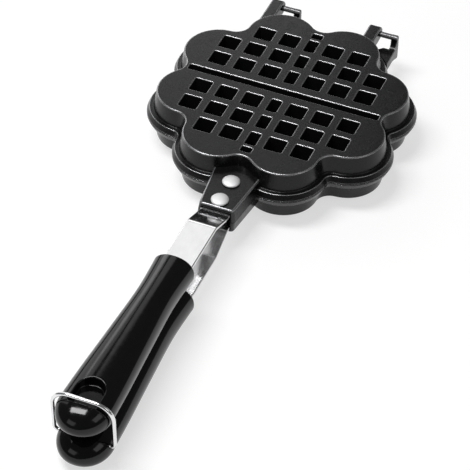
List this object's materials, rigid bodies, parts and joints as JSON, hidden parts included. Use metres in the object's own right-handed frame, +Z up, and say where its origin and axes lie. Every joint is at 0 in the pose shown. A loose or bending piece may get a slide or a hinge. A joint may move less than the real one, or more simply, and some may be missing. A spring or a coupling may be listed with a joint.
{
  "type": "stovetop waffle iron",
  "caption": "Hand-held stovetop waffle iron: hinged flower-shaped cast plates with a pocket pattern, strip shanks, moulded grips and a swinging wire bail that holds it shut.",
  "frame": {"origin": "on the lower plate's outer face, the one that rests on the hob, in the middle of the land beside its divider groove and 5.25 mm from the plate's centre towards the hinges", "axes": "+Z up through both closed plates, +Y from the grips to the hinges, +X to the right seen from the grips"},
  "size_m": [0.1474, 0.3675, 0.0434],
  "materials": {
    "coated_aluminium": "satin",
    "phenolic": "gloss",
    "stainless_strip": "satin",
    "rivet_aluminium": "satin",
    "plated_steel": "gloss"
  },
  "bodies": {
    "lower_half": {"lower_plate": "coated_aluminium", "lower_shank": "stainless_strip", "lower_rivet_1": "rivet_aluminium", "lower_rivet_2": "rivet_aluminium", "lower_grip": "phenolic", "lower_grip_screw": "plated_steel"},
    "upper_half": {"upper_plate": "coated_aluminium", "upper_shank": "stainless_strip", "upper_rivet_1": "rivet_aluminium", "upper_rivet_2": "rivet_aluminium", "upper_grip": "phenolic", "upper_grip_screw": "plated_steel"},
    "bail": {"wire_bail": "plated_steel"}
  },
  "joints": [
    {"name": "lid_hinge", "type": "hinge", "parent": "lower_half", "child": "upper_half", "pos_m": [0, 0.07675, 0.0227], "axis": [-1, 0, 0], "range_deg": [0, 180]},
    {"name": "bail_swing", "type": "hinge", "parent": "lower_half", "child": "bail", "pos_m": [0, -0.27195, 0.0074], "axis": [1, 0, 0], "range_deg": [0, 230]}
  ]
}
